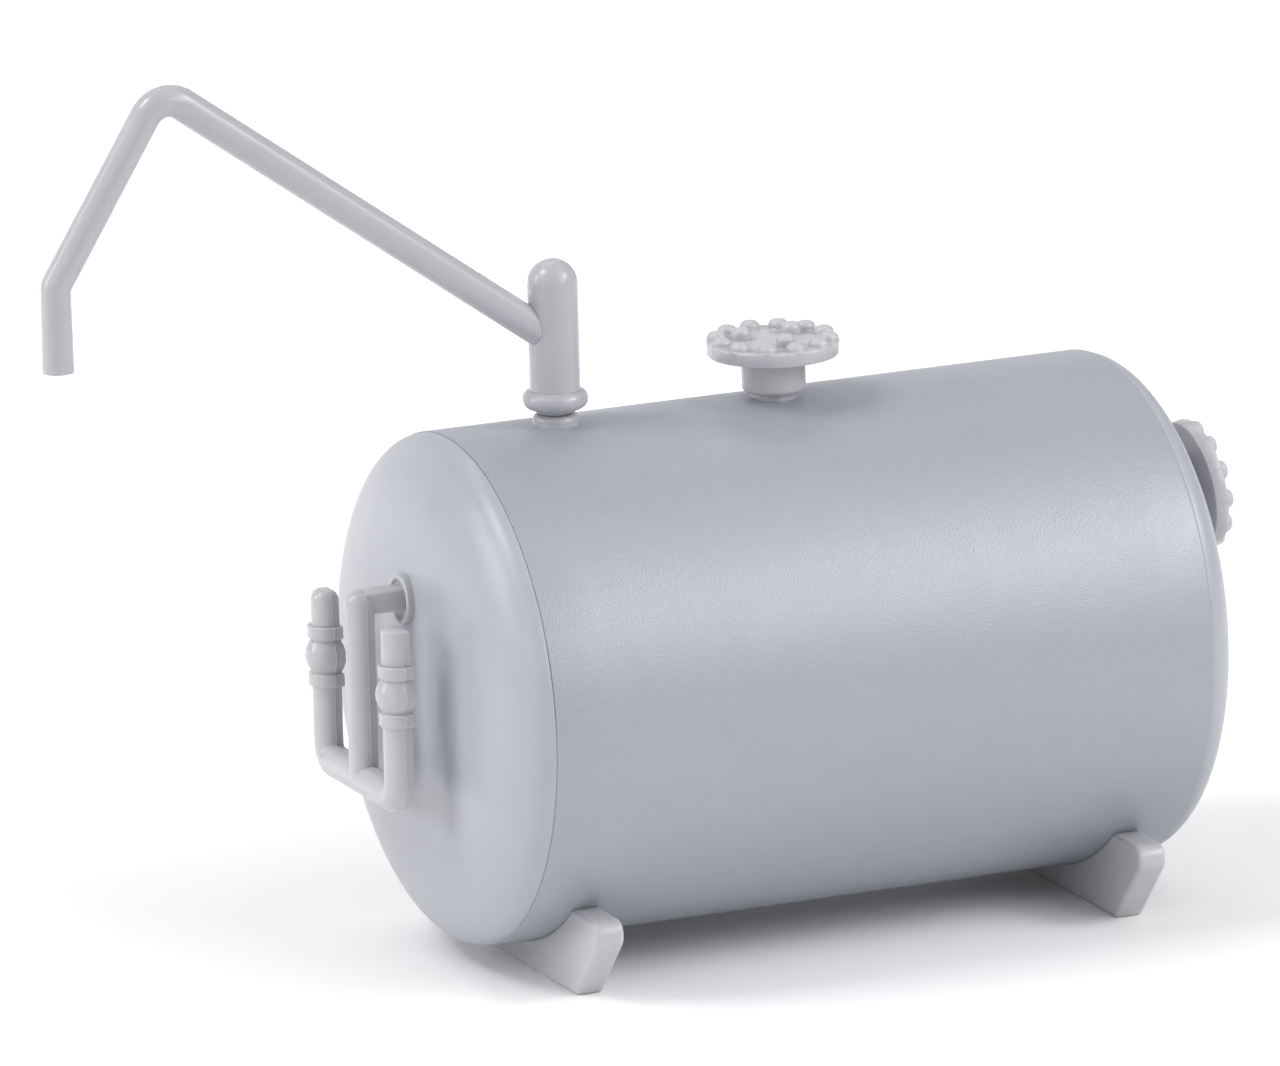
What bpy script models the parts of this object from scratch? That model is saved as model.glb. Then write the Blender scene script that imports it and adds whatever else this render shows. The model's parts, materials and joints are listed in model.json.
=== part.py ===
"""Storage tank with a swivelling filling arm, as a moulded-plastic scale model.

Metres, +Z up, +X from the front end, which carries the outlet manifold, to the rear end.
The origin is the centre of the front saddle's underside. The barrel lies along X, and
the filling arm points forward at rest.
"""

import math

import bmesh
import bpy
from mathutils import Matrix, Vector

MM = 0.001
GAP = 0.3 * MM  # between pieces that touch
MERGE = 0.01 * MM

# Barrel, lying on two saddles.
BARREL_RADIUS = 40.0 * MM
BARREL_WALL = 2.0 * MM
BARREL_LENGTH = 111.0 * MM
BARREL_FRONT = -9.8 * MM
AXIS_HEIGHT = 43.5 * MM
BARREL_CENTRE = BARREL_FRONT + BARREL_LENGTH / 2
BARREL_REAR = BARREL_FRONT + BARREL_LENGTH
CROWN_HEIGHT = AXIS_HEIGHT + BARREL_RADIUS

# Domed end caps, each with a spigot that plugs into the barrel.
CAP_RADIUS = BARREL_RADIUS - 0.15 * MM
CAP_DEPTH = 8.0 * MM
CAP_POWER = 3.6
CAP_WALL = 2.0 * MM
SPIGOT_LENGTH = 6.0 * MM

# Saddles.
SADDLE_SPACING = 92.0 * MM
SADDLE_THICKNESS = 4.7 * MM
SADDLE_HALF_WIDTH = 36.0 * MM
SADDLE_FOOT_HALF_WIDTH = 27.0 * MM
SADDLE_LEDGE_HEIGHT = 13.5 * MM
SADDLE_SIDE_HEIGHT = 10.0 * MM

# Filling arm. Heights are above the barrel's crown, reaches are from the post's axis.
ARM_X = BARREL_CENTRE - 37.3 * MM
BUSH_RADIUS = 3.57 * MM
BUSH_TOP = 0.9 * MM
BUSH_BOTTOM = -3.4 * MM
PIN_RADIUS = 2.0 * MM
NECK_RADIUS = 2.75 * MM
NECK_TOP = 2.3 * MM
PIN_BOTTOM = -6.2 * MM
PIN_TOP = 10.0 * MM
WASHER_RADIUS = 4.6 * MM
WASHER_THICKNESS = 1.2 * MM
POST_RADIUS = 3.92 * MM
POST_TOP = 26.0 * MM
COLLAR_HEIGHT = 3.95 * MM
COLLAR_TUBE_CENTRE = 3.6 * MM
COLLAR_TUBE_RADIUS = 1.5 * MM
BOOM_HEIGHT = 13.2 * MM
APEX_REACH = 63.9 * MM
APEX_HEIGHT = 59.5 * MM
SPOUT_REACH = 81.8 * MM
SPOUT_BEND_HEIGHT = 30.9 * MM
SPOUT_TIP_HEIGHT = 17.6 * MM
BOOM_RADIUS = 2.55 * MM
LEG_RADIUS = 2.35 * MM
SPOUT_RADIUS = 2.47 * MM
APEX_BEND_RADIUS = 4.3 * MM
SPOUT_BEND_RADIUS = 2.9 * MM
BOOM_SOCKET_START = 1.0 * MM

# Bolted covers on the crown and on the rear cap. Heights are above the face they stand on.
MANHOLE_X = BARREL_CENTRE - 0.4 * MM
REAR_PORT_HEIGHT = AXIS_HEIGHT + 16.1 * MM
REAR_PORT_TILT = math.radians(7)  # it stands nearly square to the domed cap
STUB_RADIUS = 3.56 * MM
STUB_DEPTH = 4.0 * MM
MANHOLE_STUB_TOP = 0.7 * MM
REAR_STUB_TOP = 1.2 * MM
FLANGE_RADIUS = 5.0 * MM
FLANGE_HEIGHT = 5.45 * MM
FLANGE_ROUNDING = 0.9 * MM
COVER_RADIUS = 10.3 * MM
COVER_THICKNESS = 2.2 * MM
SPIGOT_RADIUS = 2.4 * MM
STUB_SPIGOT = 2.6 * MM
COVER_SPIGOT = 0.9 * MM
BOLT_RADIUS = 1.5 * MM
BOLT_HEIGHT = 1.3 * MM
BOLT_CIRCLE = 8.7 * MM
BOLT_COUNT = 12
INNER_BOLT_HEIGHT = 1.9 * MM
INNER_BOLT_CIRCLE = 4.9 * MM
INNER_BOLT_COUNT = 3
REAR_COVER_TURN = 5.0  # degrees

# Outlet manifold on the front cap: half-round mouldings with flat backs.
MANIFOLD_X = BARREL_CENTRE - 70.7 * MM
OUTLET_HEIGHT = AXIS_HEIGHT + 15.3 * MM
CROSSBAR_HEIGHT = AXIS_HEIGHT - 12.4 * MM
RISER_SPREAD = 14.0 * MM
PIPE_RADIUS = 2.5 * MM
PIPE_BACK = 1.35 * MM
PIPE_DRAFT = 0.25 * MM
RISER_BEND_RADIUS = 2.8 * MM
VALVE_FOOT_HEIGHT = AXIS_HEIGHT - 0.5 * MM
VALVE_RING = 2.1 * MM
VALVE_BULB = 5.35 * MM
VALVE_NOZZLE = 5.5 * MM
VALVE_RING_RADIUS = 3.05 * MM
VALVE_WAIST_RADIUS = 2.75 * MM
VALVE_BULB_RADIUS = 3.45 * MM
NOZZLE_RADIUS = 2.4 * MM
OUTLET_STUB_HALF_WIDTH = 2.05 * MM
ROSETTE_RADIUS = 3.95 * MM
ROSETTE_BORE = 3.05 * MM
ROSETTE_THICKNESS = 1.3 * MM

# Plastics: colour and roughness.
BODY = ((0.40, 0.42, 0.46), 0.42)
CAP = ((0.44, 0.45, 0.48), 0.42)
FITTING = ((0.50, 0.51, 0.53), 0.36)

LONG_AXIS_FORWARD = (0.0, math.radians(-90), 0.0)
LONG_AXIS_REARWARD = (0.0, math.radians(90), 0.0)


def clear_scene():
    for old in list(bpy.data.objects):
        bpy.data.objects.remove(old, do_unlink=True)


def new_collection(name):
    collection = bpy.data.collections.new(name)
    bpy.context.scene.collection.children.link(collection)
    return collection


def plastic(name, finish):
    """One material for each piece, so that a piece can be recoloured by itself."""
    colour, roughness = finish
    material = bpy.data.materials.new(name + "_plastic")
    material.use_nodes = True
    shader = material.node_tree.nodes["Principled BSDF"]
    shader.inputs["Base Color"].default_value = (*colour, 1.0)
    shader.inputs["Roughness"].default_value = roughness
    shader.inputs["Metallic"].default_value = 0.0
    return material


def add_part(name, data, location=(0, 0, 0), rotation=(0, 0, 0), finish=FITTING):
    part = bpy.data.objects.new(name, data)
    part.location = location
    part.rotation_euler = rotation
    data.materials.append(plastic(name, finish))
    PARTS.objects.link(part)
    return part


def add_cutter(name, data, location=(0, 0, 0), rotation=(0, 0, 0)):
    cutter = bpy.data.objects.new(name, data)
    cutter.location = location
    cutter.rotation_euler = rotation
    cutter.hide_render = True
    cutter.display_type = "WIRE"
    CUTTERS.objects.link(cutter)
    return cutter


def boolean(part, other, operation):
    modifier = part.modifiers.new(operation.lower() + "_" + other.name, "BOOLEAN")
    modifier.operation = operation
    modifier.solver = "EXACT"
    modifier.object = other


def turned_mesh(name, profile, ring=False):
    """The (radius, height) profile as a chain of edges at +X, closed into a loop for a ring."""
    mesh = bpy.data.meshes.new(name)
    edges = [(i, i + 1) for i in range(len(profile) - 1)]
    if ring:
        edges.append((len(profile) - 1, 0))
    mesh.from_pydata([(radius, 0.0, height) for radius, height in profile], edges, [])
    return mesh


def turned(name, profile, steps, ring=False, **place):
    """A part turned about its own Z. The profile runs down its outer side, top to bottom."""
    part = add_part(name, turned_mesh(name, profile, ring), **place)
    screw = part.modifiers.new("turn", "SCREW")
    screw.axis = "Z"
    screw.angle = math.tau
    screw.steps = steps
    screw.render_steps = steps
    screw.use_merge_vertices = True
    screw.merge_threshold = MERGE
    screw.use_smooth_shade = True
    return part


def cylinder_mesh(name, radius, low, high, steps=32):
    mesh = bpy.data.meshes.new(name)
    shape = bmesh.new()
    bmesh.ops.create_cone(
        shape,
        cap_ends=True,
        segments=steps,
        radius1=radius,
        radius2=radius,
        depth=high - low,
        matrix=Matrix.Translation((0, 0, (low + high) / 2)),
    )
    shape.to_mesh(mesh)
    shape.free()
    return mesh


def block_mesh(name, low, high):
    """A box between two corners."""
    mesh = bpy.data.meshes.new(name)
    shape = bmesh.new()
    size = Vector(high) - Vector(low)
    middle = (Vector(high) + Vector(low)) / 2
    matrix = Matrix.Translation(middle) @ Matrix.Diagonal((*size, 1.0))
    bmesh.ops.create_cube(shape, size=1.0, matrix=matrix)
    shape.to_mesh(mesh)
    shape.free()
    return mesh


def arc(centre, radius, start_degrees, end_degrees, steps):
    """Points of an arc in a plane, both ends included."""
    points = []
    for i in range(steps + 1):
        angle = math.radians(start_degrees + (end_degrees - start_degrees) * i / steps)
        points.append(
            (centre[0] + radius * math.cos(angle), centre[1] + radius * math.sin(angle))
        )
    return points


def rounded_corner(before, corner, after, radius, steps):
    """Points of the arc that rounds a corner between two straight runs, in 2D or 3D."""
    before, corner, after = Vector(before), Vector(corner), Vector(after)
    inward = (before - corner).normalized()
    outward = (after - corner).normalized()
    half = inward.angle(outward) / 2
    centre = corner + (inward + outward).normalized() * (radius / math.sin(half))
    start = corner + inward * (radius / math.tan(half))
    end = corner + outward * (radius / math.tan(half))
    sweep = math.pi - 2 * half
    first = start - centre
    last = end - centre
    points = []
    for i in range(steps + 1):
        turn = sweep * i / steps
        weight = math.sin(sweep - turn) * first + math.sin(turn) * last
        points.append(tuple(centre + weight / math.sin(sweep)))
    return points


def poly_curve(name, points, dimensions, cyclic=False, radii=None):
    curve = bpy.data.curves.new(name, "CURVE")
    curve.dimensions = dimensions
    spline = curve.splines.new("POLY")
    spline.points.add(len(points) - 1)
    for i, point in enumerate(points):
        spline.points[i].co = (*point, *(0.0,) * (3 - len(point)), 1.0)
        if radii:
            spline.points[i].radius = radii[i]
    spline.use_cyclic_u = cyclic
    return curve


def mesh_of(curve, location=(0, 0, 0), rotation=(0, 0, 0)):
    """The curve's solid as a welded mesh, moved to its place."""
    holder = bpy.data.objects.new("guide", curve)
    CUTTERS.objects.link(holder)
    holder.location = location
    holder.rotation_euler = rotation
    bpy.context.view_layer.update()
    evaluated = holder.evaluated_get(bpy.context.evaluated_depsgraph_get())
    mesh = bpy.data.meshes.new_from_object(evaluated)
    mesh.transform(holder.matrix_world)
    shape = bmesh.new()
    shape.from_mesh(mesh)
    bmesh.ops.remove_doubles(shape, verts=shape.verts, dist=MERGE)
    bmesh.ops.recalc_face_normals(shape, faces=shape.faces)
    shape.to_mesh(mesh)
    shape.free()
    bpy.data.objects.remove(holder, do_unlink=True)
    return mesh


def cap_profile(radius, depth, steps):
    """(radius, height) points of a domed end: flat in the middle, and rolled over at its edge."""
    points = []
    for i in range(steps + 1):
        angle = math.radians(88) * i / steps
        points.append((radius * math.sin(angle) ** (2 / CAP_POWER), depth * math.cos(angle)))
    return points


def cap_height(offset):
    """How far the outside of an end cap stands out of the barrel, at this distance from the axis."""
    return CAP_DEPTH * math.sqrt(1 - (offset / CAP_RADIUS) ** CAP_POWER)


def make_barrel():
    """An open tube with a hole for the arm's bush and one for the manhole's stub."""
    inner = BARREL_RADIUS - BARREL_WALL
    chamfer = 0.25 * MM
    top = BARREL_LENGTH / 2
    profile = [
        (inner, top),
        (BARREL_RADIUS - chamfer, top),
        (BARREL_RADIUS, top - chamfer),
        (BARREL_RADIUS, -top + chamfer),
        (BARREL_RADIUS - chamfer, -top),
        (inner, -top),
    ]
    barrel = turned(
        "barrel",
        profile,
        72,
        ring=True,
        location=(BARREL_CENTRE, 0, AXIS_HEIGHT),
        rotation=LONG_AXIS_REARWARD,
        finish=BODY,
    )
    holes = (("arm_hole", ARM_X, BUSH_RADIUS), ("manhole_hole", MANHOLE_X, STUB_RADIUS))
    for name, x, radius in holes:
        drill = cylinder_mesh(name, radius + GAP, -4 * BARREL_WALL, 2 * BARREL_WALL)
        boolean(barrel, add_cutter(name, drill, location=(x, 0, CROWN_HEIGHT)), "DIFFERENCE")


def make_end_cap(name, x, rotation):
    """A domed shell whose spigot plugs into the barrel."""
    spigot_radius = BARREL_RADIUS - BARREL_WALL - GAP
    inner_radius = spigot_radius - CAP_WALL
    outside = cap_profile(CAP_RADIUS, CAP_DEPTH, 10)
    inside = cap_profile(inner_radius, CAP_DEPTH - CAP_WALL, 4)
    rim = [
        (CAP_RADIUS - 0.02 * MM, GAP),
        (spigot_radius, GAP),
        (spigot_radius, -SPIGOT_LENGTH),
        (inner_radius, -SPIGOT_LENGTH),
    ]
    profile = outside[:-1] + rim + inside[:-1][::-1]
    return turned(
        name,
        profile,
        60,
        location=(x, 0, AXIS_HEIGHT),
        rotation=rotation,
        finish=CAP,
    )


def make_saddle(name, x):
    """A plate with a hollow cradle for the barrel, a ledge each side and raked-in ends."""
    cradle_radius = BARREL_RADIUS + GAP
    ledge_drop = AXIS_HEIGHT - SADDLE_LEDGE_HEIGHT
    tip_angle = math.degrees(math.asin(ledge_drop / cradle_radius))
    ledge = SADDLE_LEDGE_HEIGHT
    tip = (cradle_radius * math.cos(math.radians(tip_angle)), ledge)
    shoulder = (SADDLE_HALF_WIDTH, ledge)
    waist = (SADDLE_HALF_WIDTH, SADDLE_SIDE_HEIGHT)
    foot = (SADDLE_FOOT_HALF_WIDTH, 0.0)
    right = [
        *rounded_corner(tip, shoulder, waist, 2.2 * MM, 4),
        *rounded_corner(shoulder, waist, foot, 2.5 * MM, 3),
        *rounded_corner(waist, foot, (0.0, 0.0), 0.5 * MM, 2),
    ]
    left = [(-y, z) for y, z in reversed(right)]
    cradle = arc((0.0, AXIS_HEIGHT), cradle_radius, 180 + tip_angle, 360 - tip_angle, 28)
    outline = right + left + cradle
    plate = poly_curve(name, outline, "2D", cyclic=True)
    plate.fill_mode = "BOTH"
    plate.extrude = SADDLE_THICKNESS / 2
    return add_part(
        name,
        plate,
        location=(x, 0, 0),
        rotation=(math.radians(90), 0, math.radians(90)),
    )


def make_arm_bearing():
    """The bush in the barrel's wall, the pivot pin through it and the washer that holds the pin."""
    bush_bore = PIN_RADIUS + GAP
    rounding = 0.6 * MM
    bush = [
        (bush_bore, BUSH_TOP),
        *arc((BUSH_RADIUS - rounding, BUSH_TOP - rounding), rounding, 90, 0, 4),
        (BUSH_RADIUS, BUSH_BOTTOM),
        (bush_bore, BUSH_BOTTOM),
    ]
    turned("arm_bush", bush, 30, ring=True, location=(ARM_X, 0, CROWN_HEIGHT))

    head_top = BUSH_BOTTOM - GAP - WASHER_THICKNESS - GAP
    head_radius = PIN_RADIUS + 0.8 * MM
    pin = [
        (0.0, PIN_TOP),
        (PIN_RADIUS, PIN_TOP),
        (PIN_RADIUS, NECK_TOP),
        (NECK_RADIUS, NECK_TOP),
        (NECK_RADIUS, BUSH_TOP + GAP),
        (PIN_RADIUS, BUSH_TOP + GAP),
        (PIN_RADIUS, head_top),
        (head_radius, head_top),
        (head_radius, PIN_BOTTOM),
        (0.0, PIN_BOTTOM),
    ]
    on_swivel(turned("arm_pivot_pin", pin, 28))

    washer_top = BUSH_BOTTOM - GAP
    washer = [
        (bush_bore, washer_top),
        (WASHER_RADIUS, washer_top),
        (WASHER_RADIUS, washer_top - WASHER_THICKNESS),
        (bush_bore, washer_top - WASHER_THICKNESS),
    ]
    on_swivel(turned("arm_retaining_washer", washer, 28, ring=True))


def on_swivel(part):
    """Parents a piece of the arm to the empty on the swivel's axis, at the barrel's crown."""
    part.parent = SWIVEL
    return part


def boom_direction():
    rise = Vector((-APEX_REACH, 0, APEX_HEIGHT - BOOM_HEIGHT))
    return rise.normalized()


def make_arm_post():
    """The domed post, drilled from below for the pin and from the side for the boom, and its collar."""
    foot = NECK_TOP + GAP
    bore = PIN_RADIUS + GAP
    dome_centre = POST_TOP - POST_RADIUS
    profile = [
        (POST_RADIUS * math.sin(angle), dome_centre + POST_RADIUS * math.cos(angle))
        for angle in (math.radians(90) * i / 6 for i in range(7))
    ]
    profile += [(POST_RADIUS, foot), (bore, foot), (bore, PIN_TOP + GAP), (0.0, PIN_TOP + GAP)]
    post = on_swivel(turned("arm_post", profile, 32))
    drill = cylinder_mesh("boom_socket", BOOM_RADIUS + GAP, BOOM_SOCKET_START, 4 * POST_RADIUS)
    turn = Vector((0, 0, 1)).rotation_difference(boom_direction()).to_euler()
    socket = on_swivel(add_cutter("boom_socket", drill, (0, 0, BOOM_HEIGHT), turn))
    boolean(post, socket, "DIFFERENCE")

    collar_bore = POST_RADIUS + GAP
    edge = math.degrees(math.acos((collar_bore - COLLAR_TUBE_CENTRE) / COLLAR_TUBE_RADIUS))
    centre = (COLLAR_TUBE_CENTRE, COLLAR_HEIGHT)
    collar = arc(centre, COLLAR_TUBE_RADIUS, edge, -edge, 8)
    on_swivel(turned("arm_collar", collar, 32, ring=True))


def boom_route():
    """Points and radii of the boom, its apex, its falling leg and its spout, from the post outwards."""
    root = Vector((0, 0, BOOM_HEIGHT))
    apex = (-APEX_REACH, 0, APEX_HEIGHT)
    bend = (-SPOUT_REACH, 0, SPOUT_BEND_HEIGHT)
    tip = (-SPOUT_REACH, 0, SPOUT_TIP_HEIGHT)
    start = root + boom_direction() * (BOOM_SOCKET_START + GAP)
    apex_arc = rounded_corner(root, apex, bend, APEX_BEND_RADIUS, 8)
    spout_arc = rounded_corner(apex, bend, tip, SPOUT_BEND_RADIUS, 4)
    points = [tuple(start), *apex_arc, *spout_arc, tip]
    radii = [BOOM_RADIUS]
    radii += [BOOM_RADIUS + (LEG_RADIUS - BOOM_RADIUS) * i / 8 for i in range(9)]
    radii += [LEG_RADIUS] * len(spout_arc)
    radii += [SPOUT_RADIUS]
    return points, radii


def make_arm_boom():
    points, radii = boom_route()
    boom = poly_curve("arm_boom", points, "3D", radii=[r / BOOM_RADIUS for r in radii])
    boom.bevel_depth = BOOM_RADIUS
    boom.bevel_resolution = 6
    boom.use_fill_caps = True
    on_swivel(add_part("arm_boom", boom))


def bolt_head_mesh(name, height, turn):
    """Domed bolt heads on the outer circle, and fewer on the inner one."""
    mesh = bpy.data.meshes.new(name)
    shape = bmesh.new()
    circles = (
        (BOLT_CIRCLE, BOLT_COUNT, turn, BOLT_HEIGHT),
        (INNER_BOLT_CIRCLE, INNER_BOLT_COUNT, 30.0 + turn, INNER_BOLT_HEIGHT),
    )
    for circle, count, first, rise in circles:
        for i in range(count):
            angle = math.radians(first + 360.0 * i / count)
            place = Matrix.Translation(
                (circle * math.cos(angle), circle * math.sin(angle), height)
            )
            squash = Matrix.Diagonal((1, 1, rise / BOLT_RADIUS, 1))
            bmesh.ops.create_uvsphere(
                shape, u_segments=8, v_segments=6, radius=BOLT_RADIUS, matrix=place @ squash
            )
    shape.to_mesh(mesh)
    shape.free()
    return mesh


def make_covered_port(name, location, rotation, stub_top, cover_turn=0.0):
    """A stub through the wall, a flange on its spigot, and a bolted cover on the flange."""
    place = {"location": location, "rotation": rotation}
    bore = SPIGOT_RADIUS + GAP
    stub = [
        (0.0, stub_top + STUB_SPIGOT),
        (SPIGOT_RADIUS, stub_top + STUB_SPIGOT),
        (SPIGOT_RADIUS, stub_top),
        (STUB_RADIUS, stub_top),
        (STUB_RADIUS, -STUB_DEPTH),
        (0.0, -STUB_DEPTH),
    ]
    turned(name + "_stub", stub, 30, **place)

    low = stub_top + GAP
    high = low + FLANGE_HEIGHT
    corner = (FLANGE_RADIUS - FLANGE_ROUNDING, low + FLANGE_ROUNDING)
    flange = [
        (0.0, high + COVER_SPIGOT),
        (SPIGOT_RADIUS, high + COVER_SPIGOT),
        (SPIGOT_RADIUS, high),
        (FLANGE_RADIUS, high),
        *arc(corner, FLANGE_ROUNDING, 0, -90, 3),
        (bore, low),
        (bore, low + STUB_SPIGOT),
        (0.0, low + STUB_SPIGOT),
    ]
    turned(name + "_flange", flange, 30, **place)

    under = high + GAP
    top = under + COVER_THICKNESS
    edge = 0.3 * MM
    plate = [
        (0.0, top),
        (COVER_RADIUS - edge, top),
        (COVER_RADIUS, top - edge),
        (COVER_RADIUS - edge, under),
        (bore, under),
        (bore, under + COVER_SPIGOT),
        (0.0, under + COVER_SPIGOT),
    ]
    cover = turned(name + "_cover", plate, 40, **place)
    heads = add_cutter(name + "_bolt_heads", bolt_head_mesh(name, top, cover_turn), **place)
    boolean(cover, heads, "UNION")


def pipe_section():
    """The manifold's section: a half-round front and a flat back with a little draft."""
    back = [(PIPE_RADIUS - PIPE_DRAFT, -PIPE_BACK), (PIPE_DRAFT - PIPE_RADIUS, -PIPE_BACK)]
    front = arc((0.0, 0.0), PIPE_RADIUS, 180, 0, 10)
    section = poly_curve("pipe_section", front + back, "2D", cyclic=True)
    return add_cutter("pipe_section", section)


def half_round(name, points, section, radii=None):
    """A half-round pipe along a route in the manifold's plane: (across, height) points."""
    pipe = poly_curve(name, points, "2D", radii=radii)
    pipe.bevel_mode = "OBJECT"
    pipe.bevel_object = section
    pipe.use_fill_caps = True
    return mesh_of(pipe, (MANIFOLD_X, 0, 0), (math.radians(90), 0, math.radians(-90)))


def make_manifold(section):
    """The pipe that falls from the outlet, the crossbar and the two risers, in one moulding."""
    top = VALVE_FOOT_HEIGHT - GAP
    stem_top = OUTLET_HEIGHT + OUTLET_STUB_HALF_WIDTH
    corners = [(-RISER_SPREAD, CROSSBAR_HEIGHT), (RISER_SPREAD, CROSSBAR_HEIGHT)]
    left_end, right_end = (-RISER_SPREAD, top), (RISER_SPREAD, top)
    route = [
        left_end,
        *rounded_corner(left_end, corners[0], corners[1], RISER_BEND_RADIUS, 5),
        *rounded_corner(corners[0], corners[1], right_end, RISER_BEND_RADIUS, 5),
        right_end,
    ]
    manifold = add_part("outlet_manifold", half_round("outlet_manifold", route, section))
    stem_route = [(0.0, stem_top), (0.0, stem_top - 0.9 * MM), (0.0, CROSSBAR_HEIGHT)]
    stem = half_round("stem", stem_route, section, radii=[0.75, 1.0, 1.0])
    boolean(manifold, add_cutter("stem", stem), "UNION")


def valve_stations(domed):
    """(height above the valve's foot, radius) from the lower ring to the nozzle's end."""
    step = 0.25 * MM
    low = [(0.0, VALVE_RING_RADIUS - step), (step, VALVE_RING_RADIUS)]
    low += [(VALVE_RING - step, VALVE_RING_RADIUS), (VALVE_RING, VALVE_WAIST_RADIUS)]
    swell = VALVE_BULB_RADIUS - VALVE_WAIST_RADIUS
    bulb = [
        (VALVE_RING + VALVE_BULB * i / 8, VALVE_WAIST_RADIUS + swell * math.sin(math.pi * i / 8))
        for i in range(1, 8)
    ]
    ring = VALVE_RING + VALVE_BULB
    high = [(ring, VALVE_WAIST_RADIUS), (ring + step, VALVE_RING_RADIUS)]
    high += [(ring + VALVE_RING - step, VALVE_RING_RADIUS), (ring + VALVE_RING, NOZZLE_RADIUS)]
    end = ring + VALVE_RING + VALVE_NOZZLE
    if domed:
        nozzle = [(end - 1.6 * MM, NOZZLE_RADIUS), (end - 0.5 * MM, 0.8 * NOZZLE_RADIUS)]
        nozzle += [(end, 0.45 * NOZZLE_RADIUS)]
    else:
        nozzle = [(end - step, NOZZLE_RADIUS), (end, NOZZLE_RADIUS - step)]
    return low + bulb + high + nozzle


def make_valve(name, across, domed, section):
    """A valve body with two rings and a bulb, and the nozzle above it."""
    stations = valve_stations(domed)
    route = [(across, VALVE_FOOT_HEIGHT + height) for height, _ in stations]
    radii = [radius / PIPE_RADIUS for _, radius in stations]
    add_part(name, half_round(name, route, section, radii))


def make_outlet(front_cap):
    """The keyed stub between the manifold and the front cap, and the rosette round it."""
    half = OUTLET_STUB_HALF_WIDTH
    face_x = BARREL_FRONT - cap_height(OUTLET_HEIGHT - AXIS_HEIGHT)
    inside_x = face_x + CAP_WALL + 1.5 * MM
    low = (MANIFOLD_X + PIPE_BACK + GAP, -half, OUTLET_HEIGHT - half)
    high = (inside_x, half, OUTLET_HEIGHT + half)
    stub = add_part("outlet_stub", block_mesh("outlet_stub", low, high))
    round_edges = stub.modifiers.new("round_edges", "BEVEL")
    round_edges.width = 0.35 * MM
    round_edges.segments = 2

    wide = half + GAP
    key_low = (face_x - CAP_WALL, -wide, OUTLET_HEIGHT - wide)
    key_high = (inside_x + CAP_WALL, wide, OUTLET_HEIGHT + wide)
    boolean(front_cap, add_cutter("keyhole", block_mesh("keyhole", key_low, key_high)), "DIFFERENCE")

    rounding = (ROSETTE_RADIUS - ROSETTE_BORE) / 2
    crest = ROSETTE_THICKNESS - rounding
    ring = arc((ROSETTE_BORE + rounding, crest), rounding, 180, 0, 6)
    profile = ring + [(ROSETTE_RADIUS, GAP), (ROSETTE_BORE, GAP)]
    turned(
        "outlet_rosette",
        profile,
        32,
        ring=True,
        location=(face_x, 0, OUTLET_HEIGHT),
        rotation=LONG_AXIS_FORWARD,
    )


def drill_rear_cap(rear_cap):
    """The hole for the rear port's stub. Returns the port's place and its turn."""
    drill = cylinder_mesh("rear_port_hole", STUB_RADIUS + GAP, -4 * CAP_WALL, 4 * CAP_WALL)
    face_x = BARREL_REAR + cap_height(REAR_PORT_HEIGHT - AXIS_HEIGHT)
    location = (face_x, 0, REAR_PORT_HEIGHT)
    rotation = (0.0, math.radians(90) - REAR_PORT_TILT, 0.0)
    hole = add_cutter("rear_port_hole", drill, location, rotation)
    boolean(rear_cap, hole, "DIFFERENCE")
    return location, rotation


def smooth_round_parts():
    """Smooth shading on the curved faces, with the edges kept sharp."""
    for part in PARTS.objects:
        if part.type == "MESH" and part.data.polygons:
            part.data.shade_smooth()
            part.data.set_sharp_from_angle(angle=math.radians(35))


clear_scene()
PARTS = new_collection("storage_tank")
CUTTERS = new_collection("cutters")
SWIVEL = bpy.data.objects.new("arm_swivel_axis", None)
SWIVEL.location = (ARM_X, 0, CROWN_HEIGHT)
PARTS.objects.link(SWIVEL)

make_barrel()
front_end_cap = make_end_cap("front_end_cap", BARREL_FRONT, LONG_AXIS_FORWARD)
rear_end_cap = make_end_cap("rear_end_cap", BARREL_REAR, LONG_AXIS_REARWARD)
make_saddle("front_saddle", 0.0)
make_saddle("rear_saddle", SADDLE_SPACING)
make_arm_bearing()
make_arm_post()
make_arm_boom()
make_covered_port("manhole", (MANHOLE_X, 0, CROWN_HEIGHT), (0, 0, 0), MANHOLE_STUB_TOP)
rear_port_place, rear_port_turn = drill_rear_cap(rear_end_cap)
make_covered_port("rear_port", rear_port_place, rear_port_turn, REAR_STUB_TOP, REAR_COVER_TURN)
half_round_section = pipe_section()
make_manifold(half_round_section)
make_valve("left_valve", -RISER_SPREAD, True, half_round_section)
make_valve("right_valve", RISER_SPREAD, False, half_round_section)
make_outlet(front_end_cap)
smooth_round_parts()
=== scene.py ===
"""Looks of the moulded-plastic storage tank with its swivelling filling arm."""

import json
import math

import bmesh
import bpy
from mathutils import Matrix, Vector


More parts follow.
